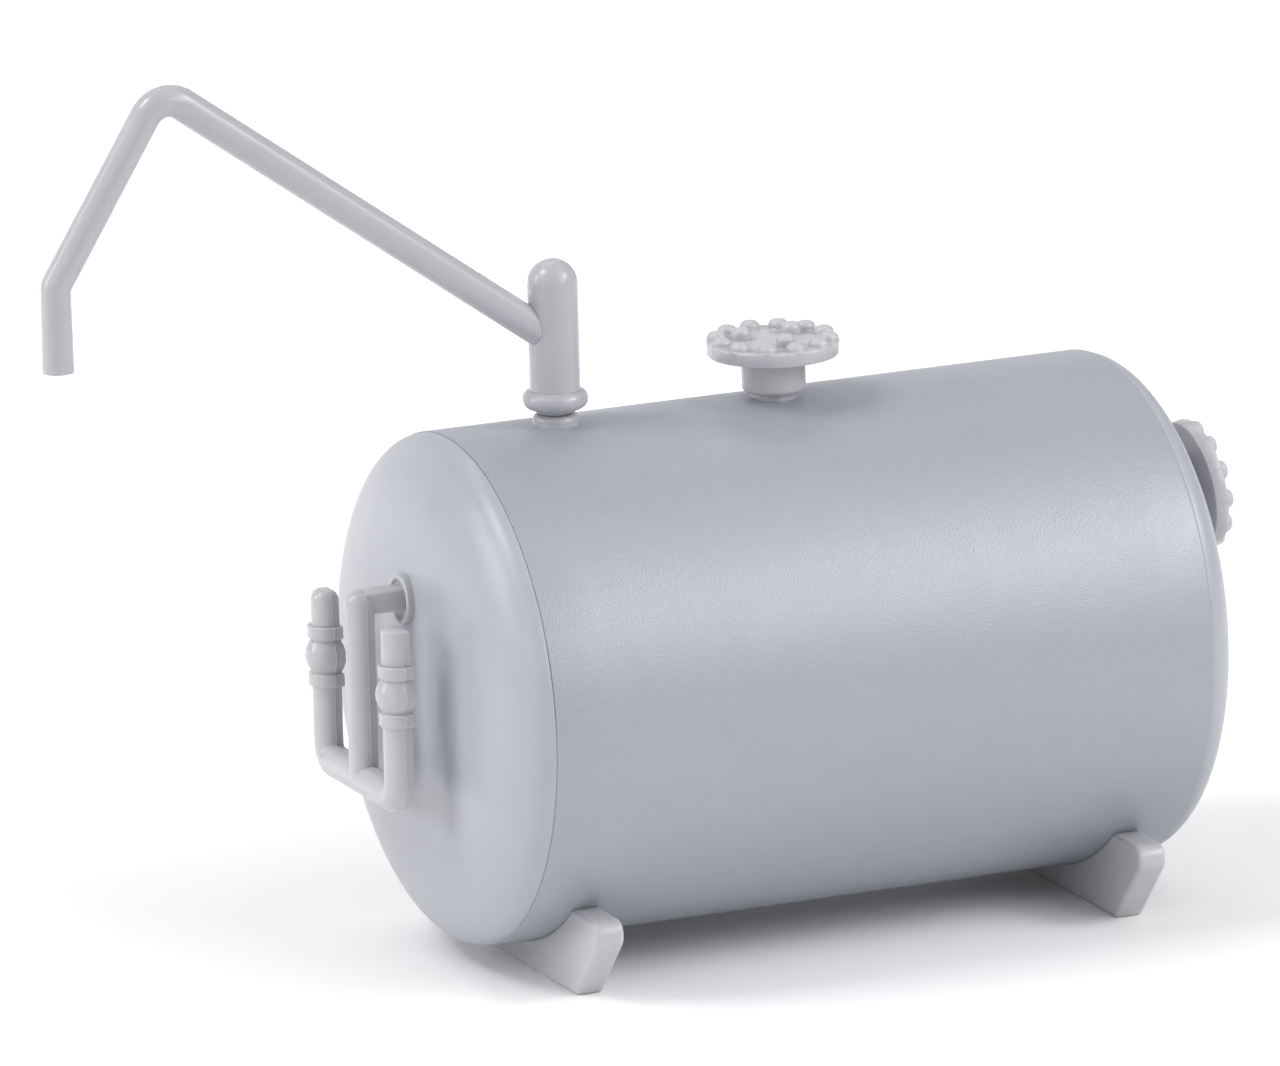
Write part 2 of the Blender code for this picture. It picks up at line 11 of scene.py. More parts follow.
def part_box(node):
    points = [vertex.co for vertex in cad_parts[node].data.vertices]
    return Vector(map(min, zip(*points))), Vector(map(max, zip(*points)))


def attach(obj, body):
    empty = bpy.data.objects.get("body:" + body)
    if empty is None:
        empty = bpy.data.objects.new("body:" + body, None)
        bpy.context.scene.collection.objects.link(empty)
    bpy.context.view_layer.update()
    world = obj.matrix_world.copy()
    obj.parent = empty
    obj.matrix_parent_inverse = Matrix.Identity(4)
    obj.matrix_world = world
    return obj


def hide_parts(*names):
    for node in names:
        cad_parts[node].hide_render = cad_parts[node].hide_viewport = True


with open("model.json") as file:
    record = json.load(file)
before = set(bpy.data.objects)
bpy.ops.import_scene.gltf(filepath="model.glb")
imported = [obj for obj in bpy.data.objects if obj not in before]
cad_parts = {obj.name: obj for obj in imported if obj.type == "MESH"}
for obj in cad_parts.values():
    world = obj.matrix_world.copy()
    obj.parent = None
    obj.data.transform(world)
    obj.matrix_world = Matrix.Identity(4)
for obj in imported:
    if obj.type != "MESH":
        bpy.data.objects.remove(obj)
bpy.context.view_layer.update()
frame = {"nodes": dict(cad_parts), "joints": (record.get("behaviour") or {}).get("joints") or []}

MM = 0.001
ARM_AXIS = Vector(frame["joints"][0]["pos_m"])


def middle(node):
    low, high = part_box(node)
    return (low + high) / 2


# --- places and sizes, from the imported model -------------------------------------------
BARREL_LOW, BARREL_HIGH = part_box("barrel")
RADIUS = (BARREL_HIGH.y - BARREL_LOW.y) / 2
AXIS_Z = (BARREL_HIGH.z + BARREL_LOW.z) / 2
FRONT = BARREL_LOW.x
REAR = BARREL_HIGH.x
CENTRE = Vector(((FRONT + REAR) / 2, 0.0, AXIS_Z))
CAP_RADIUS = RADIUS - 0.15 * MM
CAP_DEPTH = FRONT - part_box("front_end_cap")[0].x
CAP_POWER = 3.6
CROWN = ARM_AXIS.z

PIPE_RADIUS = 2.5 * MM
PIPE_BACK = 1.35 * MM
PIPE_DRAFT = 0.25 * MM
MANIFOLD_LOW, MANIFOLD_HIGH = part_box("outlet_manifold")
MANIFOLD_X = MANIFOLD_LOW.x + PIPE_RADIUS
RISER_SPREAD = MANIFOLD_HIGH.y - PIPE_RADIUS
CROSSBAR_Z = MANIFOLD_LOW.z + PIPE_RADIUS
STEM_TOP = MANIFOLD_HIGH.z
OUTLET_Z = middle("outlet_rosette").z

# --- finer sizes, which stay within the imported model's box -----------------------------
# Barrel, end caps and saddles.
BARREL_WALL = 2.0 * MM
REAR_RIM, FRONT_RIM = 0.30 * MM, 0.12 * MM  # rounding of the barrel's two rims
CAP_LAND = 0.5 * MM  # width and depth of the step by which a cap sits in the barrel
CAP_SPIGOT = 3.0 * MM  # from a cap's rim in to its hollow
CAP_WALL = 2.0 * MM
REAR_CAP_RADIUS = CAP_RADIUS - 0.12 * MM  # the rear cap shows as a small step
GLUE_PROUD = 0.06 * MM  # how far the glue stands out of the front seam
GLUE_LEVEL = 0.50  # above this part of the radius the seam has no glue
SADDLE_FOOT, SADDLE_WAIST, SADDLE_EDGE = 27.0 * MM, 10.0 * MM, 0.75 * MM

# Filling arm. Heights are above the barrel's crown, reaches are from the post's axis.
BUSH_RADIUS, BUSH_TOP, BUSH_EDGE = 3.60 * MM, 1.62 * MM, 0.90 * MM
BUSH_DEPTH = 3.0 * MM
BORE_RADIUS = 2.2 * MM
PIN_RADIUS, PIN_TOP, PIN_FOOT = 1.95 * MM, 9.8 * MM, -6.2 * MM
PIN_HEAD_RADIUS, PIN_HEAD_TOP = 2.8 * MM, -5.25 * MM
NECK_RADIUS, NECK_TOP, NECK_FOOT = 2.6 * MM, 2.8 * MM, 1.77 * MM
POST_RADIUS, POST_TOP, POST_FOOT = 3.92 * MM, 26.0 * MM, 2.35 * MM
POST_SOCKET_TOP = 10.0 * MM
COLLAR_TUBE, COLLAR_HEIGHT, COLLAR_CENTRE = 1.5 * MM, 3.95 * MM, 3.6 * MM
BOOM_HEIGHT, BOOM_RADIUS, LEG_RADIUS = 13.2 * MM, 2.55 * MM, 2.35 * MM
APEX_REACH, APEX_HEIGHT, APEX_BEND = 63.9 * MM, 59.5 * MM, 4.3 * MM
SPOUT_REACH, SPOUT_BEND_HEIGHT, SPOUT_BEND = 81.8 * MM, 30.9 * MM, 2.9 * MM
SPOUT_TIP_HEIGHT = 17.6 * MM
SPOUT_END_MM = ((2.0, 2.44), (0.25, 2.47), (0.12, 2.44), (0.03, 2.36), (0.0, 2.25))

# Covered ports. Heights are above the surface that the port stands on.
STUB_RADIUS, STUB_DEPTH = 3.56 * MM, 3.5 * MM
MANHOLE_STUB_TOP, REAR_STUB_TOP = 0.70 * MM, 1.18 * MM
STUB_TO_FLANGE = 0.15 * MM
FLANGE_RADIUS, FLANGE_EDGE = 5.0 * MM, 0.95 * MM
FLANGE_TOP = 6.0 * MM  # above the stub's top
COVER_RADIUS, COVER_EDGE = 10.36 * MM, 0.25 * MM
COVER_FROM, COVER_TO = 0.05 * MM, 2.22 * MM  # above the flange
HEAD_RADIUS, HEAD_DOME, HEAD_DEPTH = 1.58 * MM, 1.1 * MM, 0.8 * MM
RIM_CIRCLE, RIM_HEADS, RIM_RISE = 8.7 * MM, 12, 1.32 * MM
INNER_CIRCLE, INNER_HEADS, INNER_RISE, INNER_TURN = 4.9 * MM, 3, 1.92 * MM, 30.0
REAR_COVER_TURN = 5.0
PORT_TILT = math.radians(7)
PORT_RISE = 16.1 * MM  # above the barrel's axis
FOOT_FLARE = 0.08 * MM  # how far a glued foot spreads where it meets the barrel

# Outlet fork.
FORK_BEND = 2.8 * MM
STUB_CUT, STUB_EDGE = 0.65 * MM, 0.4 * MM
ROSETTE_RADIUS, ROSETTE_BORE, ROSETTE_TOP = 3.90 * MM, 3.0 * MM, 1.15 * MM
ROSETTE_HOLE = 1.6 * MM

# Camera, at the angle of the photograph: degrees, then the lens in mm, then metres.
AZIMUTH, ELEVATION, ROLL = -23.529, 14.058, -1.374
LENS, DISTANCE = 400.88, 2.22058
AIM_LEFT, AIM_UP = 0.022071, 0.017397

# Square softboxes: name, direction from the tank, width in metres, power in watts.
SOFTBOX_DISTANCE = 1.3
SOFTBOXES = (
    ("softbox_high_left", (-0.605, 0.089, 0.782), 0.45, 6.4),
    ("softbox_right", (0.64, -0.506, 0.588), 0.45, 5.9),
    ("softbox_left", (-0.9, 0.28, 0.35), 0.5, 5.0),
    ("softbox_front_left", (-0.75, -0.45, 0.48), 0.7, 1.1),
    ("softbox_front", (0.40, -0.80, 0.45), 0.7, 5.3),
    ("softbox_low", (-0.92, -0.30, 0.22), 0.7, 1.5),
    ("softbox_top", (0.35, -0.30, 0.88), 0.7, 2.0),
)


# --- meshes ----------------------------------------------------------------------------
def new_object(name, points, faces):
    mesh = bpy.data.meshes.new(name)
    mesh.from_pydata([tuple(p) for p in points], [], faces)
    shape = bmesh.new()
    shape.from_mesh(mesh)
    bmesh.ops.remove_doubles(shape, verts=shape.verts, dist=0.0005 * MM)
    bmesh.ops.recalc_face_normals(shape, faces=shape.faces)
    shape.to_mesh(mesh)
    shape.free()
    obj = bpy.data.objects.new(name, mesh)
    bpy.context.scene.collection.objects.link(obj)
    return obj


def arc(centre, radius, start, end, steps):
    """Points of an arc in a plane, angles in degrees, both ends included."""
    out = []
    for i in range(steps + 1):
        angle = math.radians(start + (end - start) * i / steps)
        out.append((centre[0] + radius * math.cos(angle), centre[1] + radius * math.sin(angle)))
    return out


def lathe(name, profile, steps=96, ring=False, place=None, ripple=None):
    """A turned solid from (radius, height) points that run down its outer side.

    ripple(i, angle) gives an extra radius for profile point i at that angle.
    """
    place = place or Matrix.Identity(4)
    points, rings = [], []
    for i, (radius, height) in enumerate(profile):
        if radius < 1e-9:
            rings.append([len(points)])
            points.append(place @ Vector((0, 0, height)))
            continue
        start = len(points)
        for j in range(steps):
            angle = math.tau * j / steps
            r = radius + (ripple(i, angle) if ripple else 0.0)
            points.append(place @ Vector((r * math.cos(angle), r * math.sin(angle), height)))
        rings.append(list(range(start, start + steps)))
    faces = []
    pairs = list(zip(rings, rings[1:]))
    if ring:
        pairs.append((rings[-1], rings[0]))
    for upper, lower in pairs:
        if len(upper) == 1 and len(lower) == 1:
            continue
        for j in range(steps):
            k = (j + 1) % steps
            if len(upper) == 1:
                faces.append((upper[0], lower[j], lower[k]))
            elif len(lower) == 1:
                faces.append((upper[j], lower[0], upper[k]))
            else:
                faces.append((upper[j], lower[j], lower[k], upper[k]))
    return new_object(name, points, faces)


def rounded(before, corner, after, radius, steps):
    """Points of the arc that rounds a corner between two straight runs."""
    before, corner, after = Vector(before), Vector(corner), Vector(after)
    inward = (before - corner).normalized()
    outward = (after - corner).normalized()
    half = inward.angle(outward) / 2
    centre = corner + (inward + outward).normalized() * (radius / math.sin(half))
    start = corner + inward * (radius / math.tan(half))
    end = corner + outward * (radius / math.tan(half))
    whole = math.pi - 2 * half
    out = []
    for i in range(steps + 1):
        turn = whole * i / steps
        weight = math.sin(whole - turn) * (start - centre) + math.sin(turn) * (end - centre)
        out.append(centre + weight / math.sin(whole))
    return out


def sweep(name, route, radii, section, side):
    """A planar route swept by a closed section of (across, out) points.

    side is the normal of the route's plane.
    """
    count = len(section)
    points, faces = [], []
    for i, place in enumerate(route):
        ahead = route[min(i + 1, len(route) - 1)] - place
        behind = place - route[max(i - 1, 0)]
        if ahead.length > 1e-9 and behind.length > 1e-9:
            tangent = (ahead.normalized() + behind.normalized()).normalized()
        else:
            tangent = (ahead + behind).normalized()
        across = side.cross(tangent).normalized()
        for u, v in section:
            points.append(place + across * (u * radii[i]) + side * (v * radii[i]))
    for i in range(len(route) - 1):
        for j in range(count):
            k = (j + 1) % count
            low, high = i * count, (i + 1) * count
            faces.append((low + j, low + k, high + k, high + j))
    last = (len(route) - 1) * count
    faces.append(tuple(range(count - 1, -1, -1)))
    faces.append(tuple(range(last, last + count)))
    return new_object(name, points, faces)


CIRCLE = arc((0.0, 0.0), 1.0, 0, 360, 40)[:-1]


def half_round_section():
    """Half-round front, a line of flash and a flat drafted back, for a unit pipe radius."""
    front = arc((0.0, 0.0), 1.0, 180, 0, 28)
    edge = 1.0 - PIPE_DRAFT / PIPE_RADIUS
    back = PIPE_BACK / PIPE_RADIUS
    flash = [(1.025, -0.015), (1.02, -0.035), (0.965, -0.05)]
    side = flash + [(edge, -back + 0.03), (edge - 0.03, -back)]
    return front + side + [(-u, v) for u, v in reversed(side)]


def joined(name, parts):
    """One object from several, with their meshes overlapping."""
    shape = bmesh.new()
    for part in parts:
        shape.from_mesh(part.data)
        old = part.data
        bpy.data.objects.remove(part)
        bpy.data.meshes.remove(old)
    mesh = bpy.data.meshes.new(name)
    shape.to_mesh(mesh)
    shape.free()
    obj = bpy.data.objects.new(name, mesh)
    bpy.context.scene.collection.objects.link(obj)
    return obj


def baked(obj):
    """Applies the modifiers of an object to its mesh."""
    bpy.context.view_layer.update()
    evaluated = obj.evaluated_get(bpy.context.evaluated_depsgraph_get())
    mesh = bpy.data.meshes.new_from_object(evaluated)
    old = obj.data
    obj.modifiers.clear()
    obj.data = mesh
    bpy.data.meshes.remove(old)
    mesh.name = obj.name
    return obj


def fused(obj, other):
    """The first solid with the second joined to it."""
    union = obj.modifiers.new("union", "BOOLEAN")
    union.operation = "UNION"
    union.solver = "EXACT"
    union.object = other
    baked(obj)
    mesh = other.data
    bpy.data.objects.remove(other)
    bpy.data.meshes.remove(mesh)
    return obj


def cleaned(obj):
    """Splits many-sided faces into triangles and drops those without area."""
    shape = bmesh.new()
    shape.from_mesh(obj.data)
    many_sided = [face for face in shape.faces if len(face.verts) > 4]
    bmesh.ops.triangulate(shape, faces=many_sided)
    bmesh.ops.dissolve_degenerate(shape, dist=0.0005 * MM, edges=shape.edges)
    shape.to_mesh(obj.data)
    shape.free()
    return obj


def settled(obj, below):
    """Lowers the points under a height so that they follow the curve of the barrel's crown."""
    blend = 0.3 * MM
    for vertex in obj.data.vertices:
        if vertex.co.z < below:
            drop = RADIUS - math.sqrt(RADIUS**2 - min(vertex.co.y**2, RADIUS**2))
            vertex.co.z -= drop * min(1.0, (below - vertex.co.z) / blend)
    return obj


def smooth(obj, degrees=35):
    obj.data.shade_smooth()
    obj.data.set_sharp_from_angle(angle=math.radians(degrees))
    return obj


# --- plastics --------------------------------------------------------------------------
def plastic(
    name, colour, roughness, grain, depth, strength, wave, mottle, gloss=0.5, glow=0.0
):
    """Bare moulded plastic: fine grain, a faint waviness and slight changes of tone and gloss.

    grain is the size of the grain in mm, depth and wave are the heights of the bumps in mm,
    gloss is the specular level and glow how far light spreads inside the plastic, in mm.
    """
    tone_patch, gloss_patch, wave_length = 9.0, 5.0, 7.0
    material = bpy.data.materials.new(name)
    material.use_nodes = True
    tree = material.node_tree
    nodes, links = tree.nodes, tree.links
    shader = nodes["Principled BSDF"]
    shader.inputs["IOR"].default_value = 1.5
    shader.inputs["Specular IOR Level"].default_value = gloss
    if glow:
        shader.inputs["Subsurface Weight"].default_value = 0.6
        shader.inputs["Subsurface Radius"].default_value = (1.0, 1.0, 1.0)
        shader.inputs["Subsurface Scale"].default_value = glow * MM
    where = nodes.new("ShaderNodeTexCoord").outputs["Object"]

    def noise(size_mm, detail):
        node = nodes.new("ShaderNodeTexNoise")
        node.inputs["Scale"].default_value = 1000.0 / size_mm
        node.inputs["Detail"].default_value = detail
        node.inputs["Roughness"].default_value = 0.5
        links.new(where, node.inputs["Vector"])
        return node.outputs["Fac"]

    def spread(value, low, high):
        node = nodes.new("ShaderNodeMapRange")
        node.interpolation_type = "SMOOTHERSTEP"
        node.inputs["From Min"].default_value = 0.2
        node.inputs["From Max"].default_value = 0.8
        node.inputs["To Min"].default_value = low
        node.inputs["To Max"].default_value = high
        links.new(value, node.inputs["Value"])
        return node.outputs["Result"]

    tone = nodes.new("ShaderNodeMix")
    tone.data_type = "RGBA"
    tone.inputs["A"].default_value = (*[c * (1 - mottle) for c in colour], 1)
    tone.inputs["B"].default_value = (*[c * (1 + mottle) for c in colour], 1)
    links.new(spread(noise(tone_patch, 2.0), 0.0, 1.0), tone.inputs["Factor"])
    links.new(tone.outputs["Result"], shader.inputs["Base Color"])
    satin = spread(noise(gloss_patch, 1.0), roughness - 0.02, roughness + 0.02)
    links.new(satin, shader.inputs["Roughness"])

    fine = nodes.new("ShaderNodeBump")
    fine.inputs["Strength"].default_value = strength
    fine.inputs["Distance"].default_value = depth * MM
    links.new(noise(grain, 2.0), fine.inputs["Height"])
    broad = nodes.new("ShaderNodeBump")
    broad.inputs["Strength"].default_value = 0.6
    broad.inputs["Distance"].default_value = wave * MM
    links.new(noise(wave_length, 1.0), broad.inputs["Height"])
    links.new(fine.outputs["Normal"], broad.inputs["Normal"])
    links.new(broad.outputs["Normal"], shader.inputs["Normal"])
    return material


MATERIALS = {
    name: plastic(name, colour, *values)
    for name, colour, *values in (
        # name, colour, roughness, grain, depth, strength, wave, mottle, gloss, glow
        ("barrel_plastic", (0.312, 0.329, 0.380), 0.33, 0.28, 0.075, 0.9, 0.02, 0.01, 0.8),
        ("cap_plastic", (0.380, 0.392, 0.428), 0.34, 0.28, 0.035, 0.8, 0.03, 0.02),
        ("saddle_plastic", (0.473, 0.480, 0.494), 0.30, 0.40, 0.02, 0.6, 0.02, 0.02, 0.5, 1.2),
        ("arm_plastic", (0.426, 0.429, 0.458), 0.25, 0.50, 0.008, 0.5, 0.01, 0.006, 0.5, 0.6),
        ("port_plastic", (0.458, 0.458, 0.484), 0.22, 0.50, 0.008, 0.5, 0.01, 0.01, 0.5, 1.6),
        ("manifold_plastic", (0.461, 0.467, 0.486), 0.25, 0.50, 0.01, 0.5, 0.01, 0.01, 0.5, 0.8),
    )
}


def finish_piece(obj, body, slot, *nodes):
    obj.data.materials.clear()
    obj.data.materials.append(MATERIALS[slot])
    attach(obj, body)
    if nodes:
        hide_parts(*nodes)
    return obj


def along(location, direction):
    """The placement whose local +Z points along a direction."""
    turn = Vector((0, 0, 1)).rotation_difference(Vector(direction)).to_matrix().to_4x4()
    return Matrix.Translation(location) @ turn


# --- barrel and end caps ---------------------------------------------------------------
def make_barrel():
    """The tube, with a small radius on each rim."""
    half = (REAR - FRONT) / 2
    inner = RADIUS - BARREL_WALL
    profile = [(inner, half)]
    profile += arc((RADIUS - REAR_RIM, half - REAR_RIM), REAR_RIM, 90, 0, 5)
    profile += [(RADIUS, half * (1 - 2 * i / 12)) for i in range(1, 12)]
    profile += arc((RADIUS - FRONT_RIM, FRONT_RIM - half), FRONT_RIM, 0, -90, 4)
    profile += [(inner, -half)]
    tube = lathe("barrel_tube", profile, 200, ring=True, place=along(CENTRE, (1, 0, 0)))
    return finish_piece(smooth(tube), "tank", "barrel_plastic", "barrel")


def make_cap(name, node, x, direction, radius, rim, groove_depth):
    """A domed end. Glue fills the groove of its seam except near the top."""
    lip = rim / 2
    steps = 40
    profile = []
    for i in range(steps + 1):
        angle = math.radians(87) * i / steps
        profile.append((radius * math.sin(angle) ** (2 / CAP_POWER), CAP_DEPTH * math.cos(angle)))
    profile += arc((radius - rim, lip + rim), rim, 0, -90, 4)
    groove = len(profile)
    inner = radius - CAP_LAND - groove_depth
    profile += [(inner, lip), (inner, -CAP_LAND)]
    profile += [(radius - CAP_SPIGOT, -CAP_LAND), (radius - CAP_SPIGOT, 1.0 * MM)]
    profile += [(radius * 0.8, CAP_DEPTH * 0.55), (0.0, CAP_DEPTH - CAP_WALL)]
    place = along((x, 0, AXIS_Z), direction)
    top = (place.to_3x3().inverted() @ Vector((0, 0, 1))).normalized()

    def ripple(i, angle):
        if i not in (groove, groove + 1):
            return 0.0
        height = math.cos(angle) * top.x + math.sin(angle) * top.y
        filled = min(1.0, max(0.0, (GLUE_LEVEL - height) * 2.0))
        return (groove_depth + CAP_LAND + GLUE_PROUD) * filled

    cap = lathe(name, profile, 180, place=place, ripple=ripple)
    return finish_piece(smooth(cap, 40), "tank", "cap_plastic", node)


# --- saddles ---------------------------------------------------------------------------
def make_saddle(name, node):
    """A plate hollowed for the barrel, with softly rounded edges."""
    low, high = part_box(node)
    thick = high.x - low.x
    top, half = high.z, high.y
    cradle = RADIUS - 0.25 * MM
    drop = AXIS_Z - top
    tip_angle = math.degrees(math.asin(drop / cradle))
    tip = (cradle * math.cos(math.radians(tip_angle)), top)
    right = [
        *rounded(tip, (half, top), (half, SADDLE_WAIST), 2.2 * MM, 8),
        *rounded((half, top), (half, SADDLE_WAIST), (SADDLE_FOOT, 0.0), 2.5 * MM, 8),
        *rounded((half, SADDLE_WAIST), (SADDLE_FOOT, 0.0), (0.0, 0.0), 0.9 * MM, 5),
    ]
    right = [tuple(p) for p in right]
    outline = right + [(-y, z) for y, z in reversed(right)]
    outline += arc((0.0, AXIS_Z), cradle, 180 + tip_angle, 360 - tip_angle, 64)
    curve = bpy.data.curves.new(name, "CURVE")
    curve.dimensions = "2D"
    spline = curve.splines.new("POLY")
    spline.points.add(len(outline) - 1)
    for point, (y, z) in zip(spline.points, outline):
        point.co = (y, z, 0.0, 1.0)
    spline.use_cyclic_u = True
    curve.fill_mode = "BOTH"
    curve.extrude = thick / 2 - SADDLE_EDGE
    curve.bevel_depth = SADDLE_EDGE
    curve.bevel_resolution = 4
    curve.offset = -SADDLE_EDGE
    guide = bpy.data.objects.new(name + "_guide", curve)
    bpy.context.scene.collection.objects.link(guide)
    guide.location = ((low.x + high.x) / 2, 0, 0)
    guide.rotation_euler = (math.radians(90), 0, math.radians(90))
    bpy.context.view_layer.update()
    evaluated = guide.evaluated_get(bpy.context.evaluated_depsgraph_get())
    mesh = bpy.data.meshes.new_from_object(evaluated)
    mesh.transform(guide.matrix_world)
    bpy.data.objects.remove(guide)
    shape = bmesh.new()
    shape.from_mesh(mesh)
    bmesh.ops.remove_doubles(shape, verts=shape.verts, dist=0.002 * MM)
    bmesh.ops.recalc_face_normals(shape, faces=shape.faces)
    shape.to_mesh(mesh)
    shape.free()
    plate = bpy.data.objects.new(name, mesh)
    bpy.context.scene.collection.objects.link(plate)
    return finish_piece(smooth(plate, 30), "tank", "saddle_plastic", node)


# --- filling arm -----------------------------------------------------------------------
def make_arm_bush(axis):
    """The ring glued into the barrel, with a spread foot."""
    profile = [(BORE_RADIUS, BUSH_TOP), (2.60 * MM, BUSH_TOP - 0.02 * MM)]
    profile += arc((BUSH_RADIUS - BUSH_EDGE, BUSH_TOP - BUSH_EDGE), BUSH_EDGE, 84, 0, 10)
    profile += [(BUSH_RADIUS, 0.25 * MM), (BUSH_RADIUS + FOOT_FLARE, 0.05 * MM)]
    profile += [(BUSH_RADIUS + FOOT_FLARE, -0.2 * MM), (BUSH_RADIUS, -BUSH_DEPTH)]
    profile += [(BORE_RADIUS, -BUSH_DEPTH)]
    ring = settled(lathe("arm_bush_ring", profile, 96, ring=True, place=axis), CROWN + 0.25 * MM)
    finish_piece(smooth(ring, 50), "tank", "arm_plastic", "arm_bush")


def make_arm_pin(axis):
    """The pin that the arm turns on, with its neck and its head under the washer."""
    profile = [(0.0, PIN_TOP), (PIN_RADIUS, PIN_TOP), (PIN_RADIUS, NECK_TOP + 0.1 * MM)]
    profile += [(NECK_RADIUS, NECK_TOP), (NECK_RADIUS, NECK_FOOT)]
    profile += [(PIN_RADIUS, NECK_FOOT - 0.05 * MM), (PIN_RADIUS, PIN_HEAD_TOP + 0.05 * MM)]
    profile += [(PIN_HEAD_RADIUS, PIN_HEAD_TOP), (PIN_HEAD_RADIUS, PIN_FOOT), (0.0, PIN_FOOT)]
    pin = lathe("arm_pivot", profile, 56, place=axis)
    finish_piece(smooth(pin), "arm", "arm_plastic", "arm_pivot_pin")


def make_arm_post(axis):
    """The upright with its domed top and the socket for the pin."""
    profile = []
    for i in range(21):
        angle = math.radians(90) * i / 20
        height = POST_TOP - POST_RADIUS + POST_RADIUS * math.cos(angle)
        profile.append((POST_RADIUS * math.sin(angle), height))
    profile += [(POST_RADIUS, POST_FOOT + 0.2 * MM), (POST_RADIUS - 0.2 * MM, POST_FOOT)]
    profile += [(BORE_RADIUS, POST_FOOT), (BORE_RADIUS, POST_SOCKET_TOP), (0.0, POST_SOCKET_TOP)]
    post = lathe("arm_post_body", profile, 80, place=axis)
    finish_piece(smooth(post), "arm", "arm_plastic", "arm_post")


def make_arm_collar(axis):
    """The half-round ring round the post's foot."""
    bore = POST_RADIUS - 0.15 * MM
    edge = math.degrees(math.acos((bore - COLLAR_CENTRE) / COLLAR_TUBE))
    profile = arc((COLLAR_CENTRE, COLLAR_HEIGHT), COLLAR_TUBE, edge, -edge, 24)
    collar = lathe("arm_collar_ring", profile, 80, ring=True, place=axis)
    finish_piece(smooth(collar), "arm", "arm_plastic", "arm_collar")


def make_arm_boom():
    """The pipe that rises from the post, bends over and ends in the spout."""
    root = Vector((ARM_AXIS.x, 0, CROWN + BOOM_HEIGHT))
    apex = Vector((ARM_AXIS.x - APEX_REACH, 0, CROWN + APEX_HEIGHT))
    bend = Vector((ARM_AXIS.x - SPOUT_REACH, 0, CROWN + SPOUT_BEND_HEIGHT))
    tip = Vector((bend.x, 0, CROWN + SPOUT_TIP_HEIGHT))
    apex_arc = rounded(root, apex, bend, APEX_BEND, 18)
    spout_arc = rounded(apex, bend, tip, SPOUT_BEND, 10)

    route = [root + (apex - root).normalized() * 0.5 * MM]
    route += [root.lerp(apex, t) for t in (0.15, 0.3, 0.45, 0.6, 0.75)]
    radii = [BOOM_RADIUS] * len(route)
    route += apex_arc
    narrowing = BOOM_RADIUS - LEG_RADIUS
    radii += [BOOM_RADIUS - narrowing * i / 18 for i in range(len(apex_arc))]
    route += [apex.lerp(bend, t) for t in (0.35, 0.6)]
    route += spout_arc
    radii += [LEG_RADIUS] * (2 + len(spout_arc))
    for inset, radius in SPOUT_END_MM:
        route.append(tip + Vector((0, 0, inset * MM)))
        radii.append(radius * MM)
    boom = sweep("arm_boom_pipe", route, radii, CIRCLE, Vector((0, 1, 0)))
    finish_piece(smooth(boom, 40), "arm", "arm_plastic", "arm_boom")


def make_arm():
    axis = Matrix.Translation(ARM_AXIS)
    make_arm_bush(axis)
    make_arm_pin(axis)
    make_arm_post(axis)
    make_arm_collar(axis)
    make_arm_boom()
    for material_slot in frame["nodes"]["arm_retaining_washer"].material_slots:
        material_slot.material = MATERIALS["arm_plastic"]


# --- covered ports ---------------------------------------------------------------------
def make_port_stub(name, place, stub_top, on_crown):
    """The short pipe under the flange, with a spread foot."""
    top = stub_top + STUB_TO_FLANGE
    profile = [(0.0, top), (STUB_RADIUS - 0.1 * MM, top)]
    profile += [(STUB_RADIUS, stub_top), (STUB_RADIUS, 0.20 * MM)]
    profile += [(STUB_RADIUS + FOOT_FLARE, 0.02 * MM), (STUB_RADIUS + FOOT_FLARE, -0.2 * MM)]
    profile += [(STUB_RADIUS, -STUB_DEPTH), (0.0, -STUB_DEPTH)]
    stub = lathe(name + "_stub_body", profile, 96, place=place)
    if on_crown:
        settled(stub, CROWN + 0.22 * MM)
    finish_piece(smooth(stub, 50), "tank", "port_plastic", name + "_stub")


def make_port_flange(name, place, low, high):
    """The round-bottomed flange between stub and cover."""
    profile = [(0.0, high), (FLANGE_RADIUS - 0.05 * MM, high), (FLANGE_RADIUS, high - 0.4 * MM)]
    profile += arc((FLANGE_RADIUS - FLANGE_EDGE, low + FLANGE_EDGE), FLANGE_EDGE, 0, -90, 10)
    profile += [(0.0, low)]
    flange = lathe(name + "_flange_body", profile, 80, place=place)
    finish_piece(smooth(flange), "tank", "port_plastic", name + "_flange")


def make_head(name, rise, spot):
    """A moulded bolt head: a dome on a short round stem that flares into the cover."""
    stem = rise - HEAD_DOME
    profile = []
    for i in range(12):
        angle = math.radians(90) * i / 12
        height = stem + HEAD_DOME * math.cos(angle) ** 0.9
        profile.append((HEAD_RADIUS * math.sin(angle) ** 0.85, height))
    profile += [(HEAD_RADIUS, stem), (HEAD_RADIUS + 0.06 * MM, 0.06 * MM)]
    profile += [(HEAD_RADIUS + 0.15 * MM, -0.03 * MM), (HEAD_RADIUS, -HEAD_DEPTH)]
    profile += [(0.0, -HEAD_DEPTH)]
    return lathe(name + "_head", profile, 28, place=spot)


